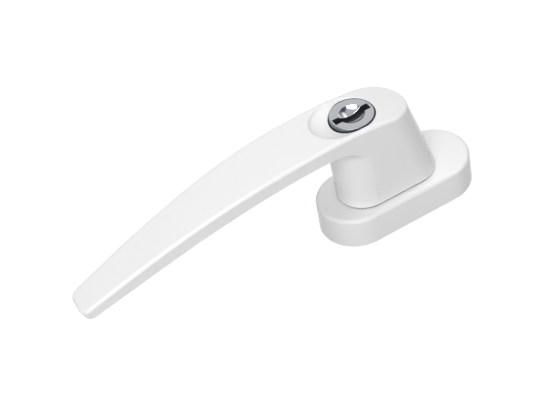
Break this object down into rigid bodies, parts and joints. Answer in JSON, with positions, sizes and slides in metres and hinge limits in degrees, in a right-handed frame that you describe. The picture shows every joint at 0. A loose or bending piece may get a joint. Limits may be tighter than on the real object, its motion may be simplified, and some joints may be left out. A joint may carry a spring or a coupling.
{
  "type": "locking window handle",
  "caption": "Arched window handle on an obround rosette, with a square spindle and a key lock in its neck that drives a bolt into the rosette.",
  "frame": {"origin": "the spindle's axis in the plane of the window sash, where the rosette's rim rests", "axes": "+Z out of the sash towards the room, the lever points along -X at rest, +X along the rosette's long axis"},
  "size_m": [0.1691, 0.031, 0.0895],
  "materials": {
    "white_coat": "smooth white powder coat, semi-gloss",
    "zinc": "zinc die casting, as cast",
    "plated_steel": "zinc-plated, bright",
    "spring_steel": "blued spring steel",
    "black_steel": "black oxide",
    "ground_steel": "ground",
    "brass": "machined",
    "black_brass": "turned, chemically blackened",
    "chrome": "satin ring, polished dimple, darkened side",
    "bearing_plastic": "moulded, natural"
  },
  "bodies": {
    "rosette": {"base_plate": "zinc", "rosette_cover": "white_coat", "neck_bush": "bearing_plastic", "back_plate": "plated_steel", "plate_screws": "plated_steel", "fixing_screws": "plated_steel", "leaf_spring_front": "spring_steel", "leaf_spring_rear": "spring_steel"},
    "handle": {"handle_casting": "white_coat", "spindle": "plated_steel", "spindle_ring": "spring_steel", "detent_cam": "plated_steel", "grub_screw": "black_steel", "lock_housing": "zinc", "housing_pin": "ground_steel"},
    "plug": {"plug": "black_brass", "lock_face": "chrome", "plug_clip": "spring_steel", "drive_pin": "ground_steel", "wafer_springs": "spring_steel"},
    "bolt": {"lock_bolt": "ground_steel"},
    "wafer_1": {"wafer_1": "brass"},
    "wafer_2": {"wafer_2": "brass"},
    "wafer_3": {"wafer_3": "brass"},
    "wafer_4": {"wafer_4": "brass"},
    "wafer_5": {"wafer_5": "brass"}
  },
  "joints": [
    {"name": "handle_turn", "type": "hinge", "parent": "rosette", "child": "handle", "pos_m": [0, 0, 0.014], "axis": [0, 0, 1], "range_deg": [-180, 180], "deforming": ["leaf_spring_front", "leaf_spring_rear"]},
    {"name": "plug_turn", "type": "hinge", "parent": "handle", "child": "plug", "pos_m": [-0.0138, 0, 0.0485], "axis": [0, 0, -1], "range_deg": [0, 180]},
    {"name": "bolt_slide", "type": "slide", "parent": "handle", "child": "bolt", "axis": [0, 0, -1], "range_m": [0, 0.006]},
    {"name": "wafer_1_slide", "type": "slide", "parent": "plug", "child": "wafer_1", "axis": [1, 0, 0], "range_m": [0, 0.001]},
    {"name": "wafer_2_slide", "type": "slide", "parent": "plug", "child": "wafer_2", "axis": [1, 0, 0], "range_m": [0, 0.001]},
    {"name": "wafer_3_slide", "type": "slide", "parent": "plug", "child": "wafer_3", "axis": [1, 0, 0], "range_m": [0, 0.001]},
    {"name": "wafer_4_slide", "type": "slide", "parent": "plug", "child": "wafer_4", "axis": [1, 0, 0], "range_m": [0, 0.001]},
    {"name": "wafer_5_slide", "type": "slide", "parent": "plug", "child": "wafer_5", "axis": [1, 0, 0], "range_m": [0, 0.001]}
  ],
  "couplings": [
    {"joint": "bolt_slide", "follows": "plug_turn", "m_per_rad": 0.0019099}
  ]
}
